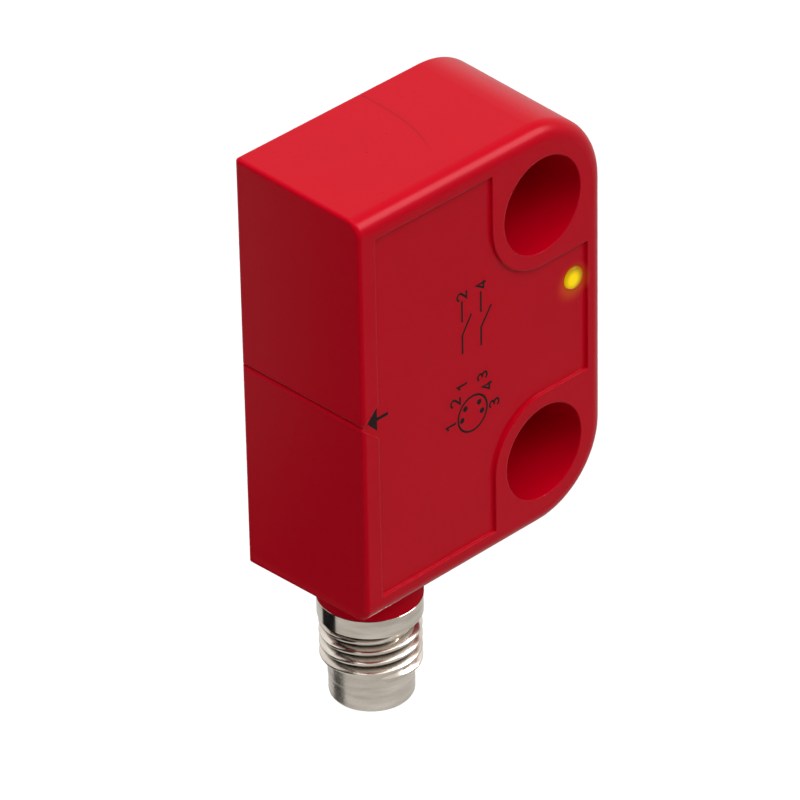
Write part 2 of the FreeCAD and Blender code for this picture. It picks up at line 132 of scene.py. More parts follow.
line = add_node(tree, "ShaderNodeMath", {
    0: weld.outputs["Result"], 1: reached.outputs["Value"]}, operation="MULTIPLY")
marked = add_node(tree, "ShaderNodeMix", {
    "Factor": line.outputs["Value"], "A": tint.outputs["Result"], "B": linear(WELD_RED)},
    data_type="RGBA")

# Painted glow: the plastic round the lamp emits a little orange, most of all below, standing in for the
# lamp's light leaking into it.
lamp_side = add_node(tree, "ShaderNodeVectorMath", {
    0: where, 1: (HALO_X / 1000, FIELD_LEVEL / 1000, HALO_Z / 1000)}, operation="DISTANCE")
painted_halo = add_node(tree, "ShaderNodeMapRange", {
    "Value": lamp_side.outputs["Value"], "From Min": HALO_CORE / 1000, "From Max": HALO_REACH / 1000,
    "To Min": 0.8, "To Max": 0.0}, interpolation_type="SMOOTHSTEP")

grain = add_node(tree, "ShaderNodeTexNoise", {
    "Vector": where, "Scale": 1000 / MOULD_GRAIN, "Detail": 2.0})
gloss = add_node(tree, "ShaderNodeMapRange", {
    "Value": grain.outputs["Fac"], "To Min": 0.26, "To Max": 0.31})
foot = add_node(tree, "ShaderNodeMapRange", {
    "Value": split.outputs["Z"], "From Min": (FOOT_LEVEL + MATT_BAND) / 1000,
    "From Max": (FOOT_LEVEL + FOOT_FADE) / 1000, "To Min": 0.6, "To Max": 0.0})
rough = add_node(tree, "ShaderNodeMath", {
    0: gloss.outputs["Result"], 1: foot.outputs["Result"]}, operation="ADD")
reach = add_node(tree, "ShaderNodeMapRange", {
    "Value": split.outputs["Z"], "From Min": (FOOT_LEVEL + SHARP_BAND) / 1000,
    "From Max": (FOOT_LEVEL + FOOT_FADE) / 1000, "To Min": 0.0, "To Max": EDGE_BREAK / 1000})
edge = add_node(tree, "ShaderNodeBevel", {"Radius": reach.outputs["Result"]}, samples=6)
relief = add_node(tree, "ShaderNodeBump", {
    "Height": grain.outputs["Fac"], "Strength": 0.05, "Distance": GRAIN_HEIGHT / 1000,
    "Normal": edge.outputs["Normal"]})
# The emission here is the painted glow round the lamp, not a light of its own.
skin = add_node(tree, "ShaderNodeBsdfPrincipled", {
    "Base Color": marked.outputs["Result"], "Roughness": rough.outputs["Value"],
    "Specular IOR Level": 0.13, "Specular Tint": (1.0, 0.31, 0.35, 1.0),
    "Normal": relief.outputs["Normal"], "Emission Color": PAINTED_HALO_GLOW,
    "Emission Strength": painted_halo.outputs["Result"]})
add_node(tree, "ShaderNodeOutputMaterial", {"Surface": skin.outputs["BSDF"]})
dress("housing", red_polyester)
dress("rear_cover", red_polyester)

# Printed marks. The real ones are pad printed on the sunk field in one thin coat of black ink:
# two contact symbols with their pin numbers, the pin layout and the target arrow.

INK = "#100B0B"
INK_WORN = "#1C0D0D"
WEAR_PATCH = 0.5
INK_COAT = 0.012
INK_BITE = 0.003
INK_FOOT = FIELD_LEVEL + INK_BITE
LINE_WIDTH = 0.18
MITRE_LIMIT = 0.4
DISC_STEPS = 24
RING_STEPS = 64

# Pad-printing ink: a dull brown-black film, a little thinner and redder where the coat is worn.
ink_film, tree, where = new_finish("pad_printed_black_ink")
wear = add_node(tree, "ShaderNodeTexNoise", {
    "Vector": where, "Scale": 1000 / WEAR_PATCH, "Detail": 3.0})
tint = add_node(tree, "ShaderNodeMix", {
    "Factor": wear.outputs["Fac"], "A": linear(INK), "B": linear(INK_WORN)}, data_type="RGBA")
skin = add_node(tree, "ShaderNodeBsdfPrincipled", {
    "Base Color": tint.outputs["Result"], "Roughness": 0.6, "Specular IOR Level": 0.1})
add_node(tree, "ShaderNodeOutputMaterial", {"Surface": skin.outputs["BSDF"]})


def finish_piece(name, bm, material, body, smooth=30):
    """Turn a bmesh in millimetres into a finished piece in metres that rides on a body."""
    bmesh.ops.remove_doubles(bm, verts=bm.verts, dist=1e-4)
    bmesh.ops.recalc_face_normals(bm, faces=bm.faces)
    bmesh.ops.scale(bm, vec=(0.001, 0.001, 0.001), verts=bm.verts)
    mesh = bpy.data.meshes.new(name)
    bm.to_mesh(mesh)
    bm.free()
    mesh.shade_smooth()
    mesh.set_sharp_from_angle(angle=math.radians(smooth))
    mesh.materials.append(material)
    piece = bpy.data.objects.new(name, mesh)
    bpy.context.scene.collection.objects.link(piece)
    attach(piece, body)
    return piece


def thicken(bm, faces):
    """Raise flat faces by one coat of ink out of the field, with side walls."""
    raised = bmesh.ops.extrude_face_region(bm, geom=faces)["geom"]
    tops = [item for item in raised if isinstance(item, bmesh.types.BMVert)]
    bmesh.ops.translate(bm, vec=(0, -INK_COAT, 0), verts=tops)


def print_stroke(bm, places, width=LINE_WIDTH):
    """Printed stroke of even width with mitred bends through places (x, z) on the field."""
    points = [Vector((x, INK_FOOT, z)) for x, z in places]
    sides = []
    for i, point in enumerate(points):
        after = (points[min(i + 1, len(points) - 1)] - points[min(i, len(points) - 2)]).normalized()
        before = (points[max(i, 1)] - points[max(i - 1, 0)]).normalized()
        bend = (before + after).normalized()
        across = Vector((-bend.z, 0, bend.x)) * width / 2 / max(MITRE_LIMIT, bend.dot(after))
        sides.append((bm.verts.new(point - across), bm.verts.new(point + across)))
    strip = [bm.faces.new((a[0], a[1], b[1], b[0])) for a, b in zip(sides, sides[1:])]
    thicken(bm, strip)


def print_disc(bm, centre, radius):
    """Solid printed dot round a place (x, z) on the field."""
    ring = bmesh.ops.create_circle(bm, cap_ends=True, radius=radius, segments=DISC_STEPS)["verts"]
    bmesh.ops.rotate(bm, verts=ring, matrix=Matrix.Rotation(math.pi / 2, 3, "X"))
    bmesh.ops.translate(bm, verts=ring, vec=(centre[0], INK_FOOT, centre[1]))
    thicken(bm, list(ring[0].link_faces))


# Contact symbols: an open blade over its fixed contact, each with the foot of its wire.
SYMBOLS = {
    "left": [((-8.35, 1.60), (-8.35, 3.24), (-7.37, 4.74)), ((-8.35, 4.41), (-8.35, 6.26))],
    "right": [((-6.37, 1.47), (-6.37, 3.06), (-5.27, 4.61)), ((-6.37, 4.42), (-6.37, 6.24))],
}
for side, strokes in SYMBOLS.items():
    bm = bmesh.new()
    for places in strokes:
        print_stroke(bm, places)
    finish_piece("printed_contact_symbol_" + side, bm, ink_film, "switch")

# Pin layout: the plug's face as a ring with its four pins as dots.
PIN_RING = (-7.37, -4.12)
PIN_RING_RADIUS = 1.53
PIN_DOT_RADIUS = 0.24
PIN_DOTS = [(-6.67, -3.43), (-6.38, -4.32), (-8.13, -3.40), (-8.48, -4.29)]
bm = bmesh.new()
inner, outer = (bm.verts.new((PIN_RING[0] + PIN_RING_RADIUS + side * LINE_WIDTH / 2, INK_FOOT, PIN_RING[1]))
                for side in (-1, 1))
bmesh.ops.spin(bm, geom=[bm.edges.new((inner, outer))], cent=(PIN_RING[0], FIELD_LEVEL, PIN_RING[1]),
               axis=(0, 1, 0), dvec=(0, 0, 0), angle=2 * math.pi, steps=RING_STEPS, use_merge=True)
thicken(bm, bm.faces[:])
for spot in PIN_DOTS:
    print_disc(bm, spot, PIN_DOT_RADIUS)
finish_piece("printed_pin_layout", bm, ink_film, "switch")

# Numbers, turned a quarter on the field. Their strokes are (along, up) in shares of a number's
# width and height, and DIGITS has each number with its middle's x and z.
DIGIT_HEIGHT = 1.05
DIGIT_WIDTH = 0.65
DIGIT_STROKES = {
    "1": [[(0.12, 0.74), (0.58, 0.96), (0.58, 0.0)]],
    "2": [[(0.5 - 0.46 * math.cos(math.radians(turn)), 0.7 + 0.26 * math.sin(math.radians(turn)))
           for turn in range(10, 211, 20)] + [(0.06, 0.05), (1.0, 0.05)]],
    "3": [[(0.48 - 0.42 * math.cos(math.radians(turn)), 0.74 + 0.22 * math.sin(math.radians(turn)))
           for turn in range(25, 266, 20)] + [(0.52, 0.52)]
          + [(0.48 + 0.46 * math.cos(math.radians(turn)), 0.27 + 0.23 * math.sin(math.radians(turn)))
             for turn in range(60, -166, -20)]],
    "4": [[(0.74, 0.35), (0.74, 0.95), (0.05, 0.26), (1.0, 0.26)], [(0.74, 0.17), (0.74, 0.0)]],
}
DIGITS = [("1", -8.43, -1.20), ("2", -8.35, 6.70), ("3", -6.30, -1.30), ("4", -6.33, 6.75),
          ("2", -9.16, -2.37), ("1", -9.66, -4.25), ("4", -5.83, -2.43), ("3", -5.07, -4.27)]
for count, (digit, x, z) in enumerate(DIGITS, start=1):
    bm = bmesh.new()
    for stroke in DIGIT_STROKES[digit]:
        places = [(x - (up - 0.5) * DIGIT_HEIGHT, z + (along - 0.5) * DIGIT_WIDTH) for along, up in stroke]
        print_stroke(bm, places)
    finish_piece("printed_number_%d" % count, bm, ink_film, "switch")

# Arrow that points along the target groove to the sensing end.
ARROW_TIP = (-18.33, 0.09)
ARROW_CORNERS = ((-17.35, 1.12), (-17.35, -0.94))
ARROW_TAIL = ((-17.35, 0.09), (-16.2, 0.09))
ARROW_TAIL_WIDTH = 0.28
bm = bmesh.new()
bm.faces.new([bm.verts.new((x, INK_FOOT, z)) for x, z in (ARROW_TIP, *ARROW_CORNERS)])
thicken(bm, bm.faces[:])
print_stroke(bm, ARROW_TAIL, width=ARROW_TAIL_WIDTH)
finish_piece("printed_arrow", bm, ink_film, "switch")

# Light guide. The real one is a clear yellow acrylic rod, pressed into the front wall from inside
# with its domed end just proud of the field, and a flange that stops it against the wall.

LAMP_X = 3.5
LAMP_Z = 2.95
GLOW_X = 3.28
GLOW_Z = 2.93
GLOW_CORE = 0.3
GLOW_REACH = 1.1

# Moulded acrylic, lit from behind: bright yellow where the dome faces the eye and olive brown
# towards its right-hand rim, where it turns away from the chip.
lit_acrylic, tree, where = new_finish("lit_yellow_acrylic")
centred = add_node(tree, "ShaderNodeMapping", {
    "Vector": where, "Location": (-GLOW_X / 1000, 0, -GLOW_Z / 1000)})
split = add_node(tree, "ShaderNodeSeparateXYZ", {"Vector": centred.outputs["Vector"]})
flat = add_node(tree, "ShaderNodeCombineXYZ", {"X": split.outputs["X"], "Z": split.outputs["Z"]})
away = add_node(tree, "ShaderNodeVectorMath", {0: flat.outputs["Vector"]}, operation="LENGTH")
ring = add_node(tree, "ShaderNodeMapRange", {
    "Value": away.outputs["Value"], "From Min": GLOW_CORE / 1000, "From Max": GLOW_REACH / 1000},
    interpolation_type="SMOOTHSTEP")
glow = add_node(tree, "ShaderNodeMix", {
    "Factor": ring.outputs["Result"], "A": linear("#F8D600"), "B": linear("#8C5800")}, data_type="RGBA")
skin = add_node(tree, "ShaderNodeBsdfPrincipled", {
    "Base Color": linear("#5A4400"), "Roughness": 0.2, "IOR": 1.49, "Specular IOR Level": 0.1,
    "Emission Color": glow.outputs["Result"], "Emission Strength": 0.95})
add_node(tree, "ShaderNodeOutputMaterial", {"Surface": skin.outputs["BSDF"]})
dress("light_guide", lit_acrylic)

# Inside of the switch: board, light chip, two resistors and the diode. The real board is glass
# cloth and resin with a green lacquer, and the small parts are soldered flat on its front.

TRACK_LANE = 0.6
POUR_WAVE = 4.0
POUR_HEIGHT = 0.1
GLAZE_SPECK = 0.1
SAND_GRAIN = 0.08
SAND_HEIGHT = 0.02
WINDOW_RADIUS = 0.30
WINDOW_RIM = 0.34

# Solder-masked board: dark green lacquer over copper tracks that run in straight lanes 0.6 mm apart.
board_lacquer, tree, where = new_finish("green_solder_mask")
lanes = add_node(tree, "ShaderNodeTexBrick", {
    "Vector": where, "Scale": 1000 / (4 * TRACK_LANE), "Color1": linear("#0E5A2C"),
    "Color2": linear("#0B4F27"), "Mortar": linear("#1B7A40"), "Mortar Size": 0.03,
    "Brick Width": 3.0, "Row Height": 0.25})
skin = add_node(tree, "ShaderNodeBsdfPrincipled", {
    "Base Color": lanes.outputs["Color"], "Roughness": 0.35})
add_node(tree, "ShaderNodeOutputMaterial", {"Surface": skin.outputs["BSDF"]})
dress("circuit_board", board_lacquer)

# Cast epoxy: near black, smooth, with slow waves left by pouring.
black_resin, tree, where = new_finish("cast_black_epoxy")
pour = add_node(tree, "ShaderNodeTexNoise", {
    "Vector": where, "Scale": 1000 / POUR_WAVE, "Detail": 2.0})
relief = add_node(tree, "ShaderNodeBump", {
    "Height": pour.outputs["Fac"], "Strength": 0.4, "Distance": POUR_HEIGHT / 1000})
sheen = add_node(tree, "ShaderNodeMapRange", {
    "Value": pour.outputs["Fac"], "To Min": 0.2, "To Max": 0.35})
skin = add_node(tree, "ShaderNodeBsdfPrincipled", {
    "Base Color": linear("#121214"), "Roughness": sheen.outputs["Result"],
    "Normal": relief.outputs["Normal"]})
add_node(tree, "ShaderNodeOutputMaterial", {"Surface": skin.outputs["BSDF"]})
dress("potting_resin", black_resin)

# Ceramic chip resistor: black glaze with a faint speckle.
chip_glaze, tree, where = new_finish("glazed_ceramic_chip")
speck = add_node(tree, "ShaderNodeTexNoise", {
    "Vector": where, "Scale": 1000 / GLAZE_SPECK, "Detail": 2.0})
tint = add_node(tree, "ShaderNodeMix", {
    "Factor": speck.outputs["Fac"], "A": linear("#15161A"), "B": linear("#26272B")}, data_type="RGBA")
skin = add_node(tree, "ShaderNodeBsdfPrincipled", {
    "Base Color": tint.outputs["Result"], "Roughness": 0.3})
add_node(tree, "ShaderNodeOutputMaterial", {"Surface": skin.outputs["BSDF"]})
dress("led_resistor", chip_glaze)
dress("contact_resistor", chip_glaze)

# Moulded epoxy case of the diode: dull charcoal with a fine sand-like grain.
case_epoxy, tree, where = new_finish("moulded_charcoal_epoxy")
sand = add_node(tree, "ShaderNodeTexNoise", {
    "Vector": where, "Scale": 1000 / SAND_GRAIN, "Detail": 1.0})
relief = add_node(tree, "ShaderNodeBump", {
    "Height": sand.outputs["Fac"], "Strength": 0.3, "Distance": SAND_HEIGHT / 1000})
tint = add_node(tree, "ShaderNodeMix", {
    "Factor": sand.outputs["Fac"], "A": linear("#2A2A2C"), "B": linear("#343437")}, data_type="RGBA")
skin = add_node(tree, "ShaderNodeBsdfPrincipled", {
    "Base Color": tint.outputs["Result"], "Roughness": 0.55, "Normal": relief.outputs["Normal"]})
add_node(tree, "ShaderNodeOutputMaterial", {"Surface": skin.outputs["BSDF"]})
dress("diode", case_epoxy)

# Light chip: pale case with a yellow phosphor window in the middle.
phosphor, tree, where = new_finish("phosphor_light_chip")
centred = add_node(tree, "ShaderNodeMapping", {
    "Vector": where, "Location": (-LAMP_X / 1000, 0, -LAMP_Z / 1000)})
away = add_node(tree, "ShaderNodeVectorMath", {
    0: centred.outputs["Vector"], 1: (1.0, 0.0, 1.0)}, operation="MULTIPLY")
reach = add_node(tree, "ShaderNodeVectorMath", {0: away.outputs["Vector"]}, operation="LENGTH")
window = add_node(tree, "ShaderNodeMapRange", {
    "Value": reach.outputs["Value"], "From Min": WINDOW_RADIUS / 1000, "From Max": WINDOW_RIM / 1000})
tint = add_node(tree, "ShaderNodeMix", {
    "Factor": window.outputs["Result"], "A": linear("#E8D23A"), "B": linear("#E6E2D2")},
    data_type="RGBA")
skin = add_node(tree, "ShaderNodeBsdfPrincipled", {
    "Base Color": tint.outputs["Result"], "Roughness": 0.3})
add_node(tree, "ShaderNodeOutputMaterial", {"Surface": skin.outputs["BSDF"]})
dress("indicator_led", phosphor)

# Reed contacts. The real ones are drawn glass tubes closed round two plated iron wires, whose
# flattened ends overlap in the middle with a hair's gap. The ends outside are bent into the board.

GLASS_LINES = (6000.0, 6000.0, 120.0)
GLASS_LINE_HEIGHT = 0.01
WIRE_LINES = (9000.0, 9000.0, 400.0)
PATCH_END = 0.9
PATCH_FADE = 1.2

# Drawn soda glass: faintly green, clear, with draw lines 0.17 mm apart and 8 mm long.
reed_glass, tree, where = new_finish("drawn_green_glass")
drawn = add_node(tree, "ShaderNodeMapping", {"Vector": where, "Scale": GLASS_LINES})
lines = add_node(tree, "ShaderNodeTexNoise", {
    "Vector": drawn.outputs["Vector"], "Scale": 1.0, "Detail": 1.0})
relief = add_node(tree, "ShaderNodeBump", {
    "Height": lines.outputs["Fac"], "Strength": 0.1, "Distance": GLASS_LINE_HEIGHT / 1000})
tint = add_node(tree, "ShaderNodeMix", {
    "Factor": lines.outputs["Fac"], "A": linear("#CFE8DA"), "B": linear("#DDF2E6")}, data_type="RGBA")
skin = add_node(tree, "ShaderNodeBsdfPrincipled", {
    "Base Color": tint.outputs["Result"], "Roughness": 0.04, "IOR": 1.51,
    "Transmission Weight": 1.0, "Normal": relief.outputs["Normal"]})
add_node(tree, "ShaderNodeOutputMaterial", {"Surface": skin.outputs["BSDF"]})

# Tinned iron wire: soft grey metal with faint draw lines 0.11 mm apart.
tinned_wire, tree, where = new_finish("tinned_iron_wire")
drawn = add_node(tree, "ShaderNodeMapping", {"Vector": where, "Scale": WIRE_LINES})
lines = add_node(tree, "ShaderNodeTexNoise", {
    "Vector": drawn.outputs["Vector"], "Scale": 1.0, "Detail": 2.0})
rough = add_node(tree, "ShaderNodeMapRange", {
    "Value": lines.outputs["Fac"], "To Min": 0.25, "To Max": 0.42})
skin = add_node(tree, "ShaderNodeBsdfPrincipled", {
    "Base Color": linear("#B9B8B2"), "Metallic": 1.0, "Roughness": rough.outputs["Result"]})
add_node(tree, "ShaderNodeOutputMaterial", {"Surface": skin.outputs["BSDF"]})

# Stamped and plated blade: brighter, with a warm contact patch of ruthenium at its free end.
plated_blade, tree, where = new_finish("plated_reed_blade")
split = add_node(tree, "ShaderNodeSeparateXYZ", {"Vector": where})
level = add_node(tree, "ShaderNodeMath", {0: split.outputs["Z"]}, operation="ABSOLUTE")
patch = add_node(tree, "ShaderNodeMapRange", {
    "Value": level.outputs["Value"], "From Min": PATCH_END / 1000, "From Max": PATCH_FADE / 1000})
tint = add_node(tree, "ShaderNodeMix", {
    "Factor": patch.outputs["Result"], "A": linear("#8E8678"), "B": linear("#C2BFB4")},
    data_type="RGBA")
skin = add_node(tree, "ShaderNodeBsdfPrincipled", {
    "Base Color": tint.outputs["Result"], "Metallic": 1.0, "Roughness": 0.28})
add_node(tree, "ShaderNodeOutputMaterial", {"Surface": skin.outputs["BSDF"]})

for reed in (1, 2):
    dress("reed_%d_glass" % reed, reed_glass)
    for side in ("upper", "lower"):
        dress("reed_%d_%s_lead" % (reed, side), tinned_wire)
        dress("reed_%d_%s_blade" % (reed, side), plated_blade)

# Connector sleeve. The real one is turned from brass bar and nickel plated, with an M8 x 1 thread,
# and is pressed into the neck of the housing up to its collar. This piece replaces the plain solid.

PLUG_X = -12.5
PLUG_Y = -6.5
SHANK_TOP = -16.7
SHOULDER = -20.8
COLLAR_FOOT = -22.5
THREAD_TOP = -22.9
THREAD_FOOT = -26.95
SLEEVE_TIP = -29.9
SLEEVE_BORE = 2.75
SHANK_RADIUS = 3.4
COLLAR_RADIUS = 4.12
COLLAR_CHAMFER = 0.08
RELIEF_RADIUS = 3.7
ROOT_RADIUS = 3.42
CREST_RADIUS = 4.0
PITCH = 1.0
NOSE_RADIUS = 3.38
TURN_STEPS = 96
LATHE_RING = 0.12
LATHE_HEIGHT = 0.01
RUB_BAND = 0.7
SHADE_REACH = 0.6

# Turned and plated brass: warm grey metal. The lathe leaves fine rings round it, really 0.03 mm
# apart and drawn at 0.12 mm. Plugs have rubbed bands of 0.7 mm round it and dulled the nose.
# Painted shade, found by an occlusion test, darkens the hollows of the thread.
plated_brass, tree, where = new_finish("turned_nickel_plated_brass")
rings = add_node(tree, "ShaderNodeMapping", {
    "Vector": where, "Scale": (150.0, 150.0, 1000 / LATHE_RING)})
lathe = add_node(tree, "ShaderNodeTexNoise", {
    "Vector": rings.outputs["Vector"], "Scale": 1.0, "Detail": 2.0})
bands = add_node(tree, "ShaderNodeMapping", {
    "Vector": where, "Scale": (250.0, 250.0, 1000 / RUB_BAND)})
dull = add_node(tree, "ShaderNodeTexNoise", {
    "Vector": bands.outputs["Vector"], "Scale": 1.0, "Detail": 3.0})
rubbed = add_node(tree, "ShaderNodeMapRange", {
    "Value": dull.outputs["Fac"], "From Min": 0.3, "From Max": 0.7})
tint = add_node(tree, "ShaderNodeMix", {
    "Factor": rubbed.outputs["Result"], "A": linear("#E4DBD0"), "B": linear("#C4B9AD")},
    data_type="RGBA")
# Painted shade: where the occlusion test finds a hollow, the colour goes to dark grey.
hollow = add_node(tree, "ShaderNodeAmbientOcclusion", {"Distance": SHADE_REACH / 1000}, samples=8)
unshaded_share = add_node(tree, "ShaderNodeMapRange", {
    "Value": hollow.outputs["AO"], "From Min": 0.25, "From Max": 0.75})
hollow_shaded = add_node(tree, "ShaderNodeMix", {
    "Factor": unshaded_share.outputs["Result"], "A": linear("#5E554F"), "B": tint.outputs["Result"]},
    data_type="RGBA")
polish = add_node(tree, "ShaderNodeMapRange", {
    "Value": dull.outputs["Fac"], "To Min": 0.10, "To Max": 0.18})
split = add_node(tree, "ShaderNodeSeparateXYZ", {"Vector": where})
worn = add_node(tree, "ShaderNodeMapRange", {
    "Value": split.outputs["Z"], "From Min": COLLAR_FOOT / 1000,
    "From Max": (THREAD_FOOT - 0.3) / 1000, "To Max": 0.14})
rough = add_node(tree, "ShaderNodeMath", {
    0: polish.outputs["Result"], 1: worn.outputs["Result"]}, operation="ADD")
relief = add_node(tree, "ShaderNodeBump", {
    "Height": lathe.outputs["Fac"], "Strength": 0.25, "Distance": LATHE_HEIGHT / 1000})
skin = add_node(tree, "ShaderNodeBsdfPrincipled", {
    "Base Color": hollow_shaded.outputs["Result"], "Metallic": 1.0, "Roughness": rough.outputs["Value"],
    "Normal": relief.outputs["Normal"]})
add_node(tree, "ShaderNodeOutputMaterial", {"Surface": skin.outputs["BSDF"]})

# Profile from the shank down to the nose, which has a shallow groove and a rounded tip.
SLEEVE_PROFILE = [
    (SLEEVE_BORE, SHANK_TOP), (SHANK_RADIUS, SHANK_TOP), (SHANK_RADIUS, SHOULDER),
    (COLLAR_RADIUS - COLLAR_CHAMFER, SHOULDER), (COLLAR_RADIUS, SHOULDER - COLLAR_CHAMFER),
    (COLLAR_RADIUS, COLLAR_FOOT + COLLAR_CHAMFER), (COLLAR_RADIUS - COLLAR_CHAMFER, COLLAR_FOOT),
    (RELIEF_RADIUS, COLLAR_FOOT - 0.02), (RELIEF_RADIUS, THREAD_TOP + 0.05), (ROOT_RADIUS, THREAD_TOP - 0.1),
    (ROOT_RADIUS, THREAD_FOOT), (NOSE_RADIUS + 0.02, THREAD_FOOT - 0.1),
    (NOSE_RADIUS + 0.018, SLEEVE_TIP + 2.0), (NOSE_RADIUS + 0.01, SLEEVE_TIP + 1.92),
    (NOSE_RADIUS - 0.01, SLEEVE_TIP + 1.82), (NOSE_RADIUS - 0.018, SLEEVE_TIP + 1.7),
    (NOSE_RADIUS - 0.018, SLEEVE_TIP + 0.32), (NOSE_RADIUS - 0.03, SLEEVE_TIP + 0.22),
    (NOSE_RADIUS - 0.07, SLEEVE_TIP + 0.12), (NOSE_RADIUS - 0.14, SLEEVE_TIP + 0.04),
    (NOSE_RADIUS - 0.25, SLEEVE_TIP), (SLEEVE_BORE + 0.05, SLEEVE_TIP), (SLEEVE_BORE, SLEEVE_TIP + 0.05),
]
bm = bmesh.new()
profile = [bm.verts.new((PLUG_X + radius, PLUG_Y, z)) for radius, z in SLEEVE_PROFILE]
edges = [bm.edges.new((profile[i - 1], profile[i])) for i in range(len(profile))]
bmesh.ops.spin(bm, geom=edges, cent=(PLUG_X, PLUG_Y, 0), axis=(0, 0, 1), dvec=(0, 0, 0),
               angle=2 * math.pi, steps=TURN_STEPS, use_merge=True)
sleeve = finish_piece("turned_connector_sleeve", bm, plated_brass, "switch", smooth=35)
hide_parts("connector_sleeve")

# Thread ridge: its profile is wound up round the sleeve, and each end sinks into the root.
RIDGE_START = THREAD_FOOT + 0.02
RIDGE_BEARING = -134.2 / 360
RIDGE_TURNS = 4.15
RIDGE_FOOT = ROOT_RADIUS - 0.1
FADE_IN = 0.18
FADE_OUT = 0.12
RIDGE_PROFILE = [(RIDGE_FOOT, 0.44), (ROOT_RADIUS + 0.03, 0.41), (CREST_RADIUS - 0.08, 0.15),
                 (CREST_RADIUS - 0.02, 0.10), (CREST_RADIUS, 0.04), (CREST_RADIUS, -0.04),
                 (CREST_RADIUS - 0.02, -0.10), (CREST_RADIUS - 0.08, -0.15), (ROOT_RADIUS + 0.03, -0.41),
                 (RIDGE_FOOT, -0.44)]
bm = bmesh.new()
section = [bm.verts.new((PLUG_X + radius, PLUG_Y, RIDGE_START + rise)) for radius, rise in RIDGE_PROFILE]
bmesh.ops.rotate(bm, verts=section, cent=(PLUG_X, PLUG_Y, 0),
                 matrix=Matrix.Rotation(RIDGE_BEARING * 2 * math.pi, 3, "Z"))
face = bm.faces.new(section)
bmesh.ops.spin(bm, geom=[face], cent=(PLUG_X, PLUG_Y, 0), axis=(0, 0, 1), dvec=(0, 0, PITCH / TURN_STEPS),
               angle=RIDGE_TURNS * 2 * math.pi, steps=round(RIDGE_TURNS * TURN_STEPS))
for vert in bm.verts:
    out = Vector((vert.co.x - PLUG_X, vert.co.y - PLUG_Y))
    bearing = math.atan2(out.y, out.x) / (2 * math.pi) - RIDGE_BEARING
    rise = (vert.co.z - RIDGE_START) / PITCH
    along = bearing + round(rise - bearing)
    share = max(0.0, min(1.0, along / FADE_IN, (RIDGE_TURNS - along) / FADE_OUT))
    radius = RIDGE_FOOT + (out.length - RIDGE_FOOT) * share
    vert.co.x = PLUG_X + out.x / out.length * radius
    vert.co.y = PLUG_Y + out.y / out.length * radius
finish_piece("connector_thread", bm, plated_brass, "switch", smooth=20)

# Contact carrier and pins. The carrier is a black nylon insulator clipped into the sleeve from
# above; the four pins are turned brass with gold over nickel, pressed through it into the board.

NYLON_GRAIN = 0.15
NYLON_HEIGHT = 0.02
PIN_RING_GAP = 0.1

# Moulded black nylon: deep grey-black with a satin sheen and a very fine grain.
black_nylon, tree, where = new_finish("moulded_black_nylon")
grain = add_node(tree, "ShaderNodeTexNoise", {
    "Vector": where, "Scale": 1000 / NYLON_GRAIN, "Detail": 2.0})
relief = add_node(tree, "ShaderNodeBump", {
    "Height": grain.outputs["Fac"], "Strength": 0.2, "Distance": NYLON_HEIGHT / 1000})
tint = add_node(tree, "ShaderNodeMix", {
    "Factor": grain.outputs["Fac"], "A": linear("#17171A"), "B": linear("#202024")}, data_type="RGBA")
skin = add_node(tree, "ShaderNodeBsdfPrincipled", {
    "Base Color": tint.outputs["Result"], "Roughness": 0.42, "Normal": relief.outputs["Normal"]})
add_node(tree, "ShaderNodeOutputMaterial", {"Surface": skin.outputs["BSDF"]})
dress("contact_carrier", black_nylon)

# Gold plate on turned brass: warm yellow metal, smooth, with faint lathe rings 0.1 mm apart.
gold_plate, tree, where = new_finish("gold_plated_contact")
rings = add_node(tree, "ShaderNodeMapping", {
    "Vector": where, "Scale": (200.0, 200.0, 1000 / PIN_RING_GAP)})
lathe = add_node(tree, "ShaderNodeTexNoise", {
    "Vector": rings.outputs["Vector"], "Scale": 1.0, "Detail": 1.0})
rough = add_node(tree, "ShaderNodeMapRange", {
    "Value": lathe.outputs["Fac"], "To Min": 0.16, "To Max": 0.26})
skin = add_node(tree, "ShaderNodeBsdfPrincipled", {
    "Base Color": linear("#E3BC62"), "Metallic": 1.0, "Roughness": rough.outputs["Result"]})
add_node(tree, "ShaderNodeOutputMaterial", {"Surface": skin.outputs["BSDF"]})
for pin in (1, 2, 3, 4):
    dress("contact_pin_%d" % pin, gold_plate)

# Studio, in metres. A wide pale floor well below the part, an even white surround, a broad
# overhead light, a key light that only matt colour takes up, a sheen light from the front right
# that only reflections show, and two black cards behind on the left, also only for reflections.

FLOOR_SIZE = 8.0
FLOOR_LEVEL = -0.15
FLOOR_FLECK = 0.03
CARD_NAP = 0.002

# Matt white floor paint: near white to the eye, dimmer in reflections and for the light it throws
# up. From below it is clear, so that the underside of the part can be looked at.
floor_paint, tree, where = new_finish("matt_white_floor_paint")
path = add_node(tree, "ShaderNodeLightPath", {})
mirrored = add_node(tree, "ShaderNodeMix", {
    "Factor": path.outputs["Is Glossy Ray"], "A": (0.30, 0.30, 0.30, 1.0), "B": (0.52, 0.52, 0.51, 1.0)},
    data_type="RGBA")
seen = add_node(tree, "ShaderNodeMath", {
    0: path.outputs["Is Camera Ray"], 1: path.outputs["Is Transmission Ray"]}, operation="MAXIMUM")
fleck = add_node(tree, "ShaderNodeTexNoise", {"Vector": where, "Scale": 1 / FLOOR_FLECK, "Detail": 2.0})
pale = add_node(tree, "ShaderNodeMix", {
    "Factor": fleck.outputs["Fac"], "A": (0.86, 0.86, 0.86, 1.0), "B": (0.88, 0.88, 0.88, 1.0)},
    data_type="RGBA")
